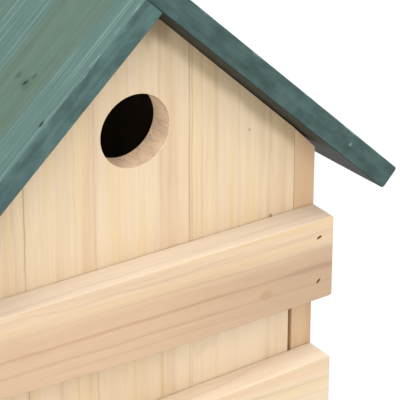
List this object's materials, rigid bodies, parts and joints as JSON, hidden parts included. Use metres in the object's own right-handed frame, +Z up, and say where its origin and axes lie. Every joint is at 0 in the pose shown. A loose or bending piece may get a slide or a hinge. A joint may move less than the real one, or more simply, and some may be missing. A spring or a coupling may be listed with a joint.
{
  "type": "birdhouse",
  "caption": "Gabled wooden nest box with a round entrance hole, nailed front slats, an overlapping stained roof, a slide-out clean-out floor and a keyhole hanger.",
  "frame": {"origin": "middle of the base, on the plane that the walls stand on", "axes": "+X to the right for someone facing the entrance hole, +Y from the front to the back, +Z up"},
  "size_m": [0.2196, 0.2, 0.2857],
  "materials": {
    "fir": "bare planed fir",
    "green_stain": "green wood stain, grain showing through",
    "galvanised_steel": "dull zinc"
  },
  "bodies": {
    "house": {"back_panel": "fir", "bottom_front_slat": "fir", "front_panel": "fir", "hanger_plate": "galvanised_steel", "hanger_screw_lower": "galvanised_steel", "hanger_screw_upper": "galvanised_steel", "left_floor_runner": "fir", "left_roof_board": "green_stain", "left_side_wall": "fir", "middle_front_slat": "fir", "ridge_nail_01": "galvanised_steel", "ridge_nail_02": "galvanised_steel", "ridge_nail_03": "galvanised_steel", "right_floor_runner": "fir", "right_roof_board": "green_stain", "right_side_wall": "fir", "roof_nail_01": "galvanised_steel", "roof_nail_02": "galvanised_steel", "roof_nail_03": "galvanised_steel", "roof_nail_04": "galvanised_steel", "roof_nail_05": "galvanised_steel", "roof_nail_06": "galvanised_steel", "roof_nail_07": "galvanised_steel", "roof_nail_08": "galvanised_steel", "runner_nail_01": "galvanised_steel", "runner_nail_02": "galvanised_steel", "runner_nail_03": "galvanised_steel", "runner_nail_04": "galvanised_steel", "slat_nail_01": "galvanised_steel", "slat_nail_02": "galvanised_steel", "slat_nail_03": "galvanised_steel", "slat_nail_04": "galvanised_steel", "slat_nail_05": "galvanised_steel", "slat_nail_06": "galvanised_steel", "slat_nail_07": "galvanised_steel", "slat_nail_08": "galvanised_steel", "slat_nail_09": "galvanised_steel", "slat_nail_10": "galvanised_steel", "slat_nail_11": "galvanised_steel", "slat_nail_12": "galvanised_steel", "top_front_slat": "fir", "wall_nail_01": "galvanised_steel", "wall_nail_02": "galvanised_steel", "wall_nail_03": "galvanised_steel", "wall_nail_04": "galvanised_steel", "wall_nail_05": "galvanised_steel", "wall_nail_06": "galvanised_steel", "wall_nail_07": "galvanised_steel", "wall_nail_08": "galvanised_steel", "wall_nail_09": "galvanised_steel", "wall_nail_10": "galvanised_steel", "wall_nail_11": "galvanised_steel", "wall_nail_12": "galvanised_steel"},
    "floor": {"floor_panel": "fir"}
  },
  "joints": [
    {"name": "floor_slide", "type": "slide", "parent": "house", "child": "floor", "axis": [0, 1, 0], "range_m": [0, 0.15]}
  ]
}
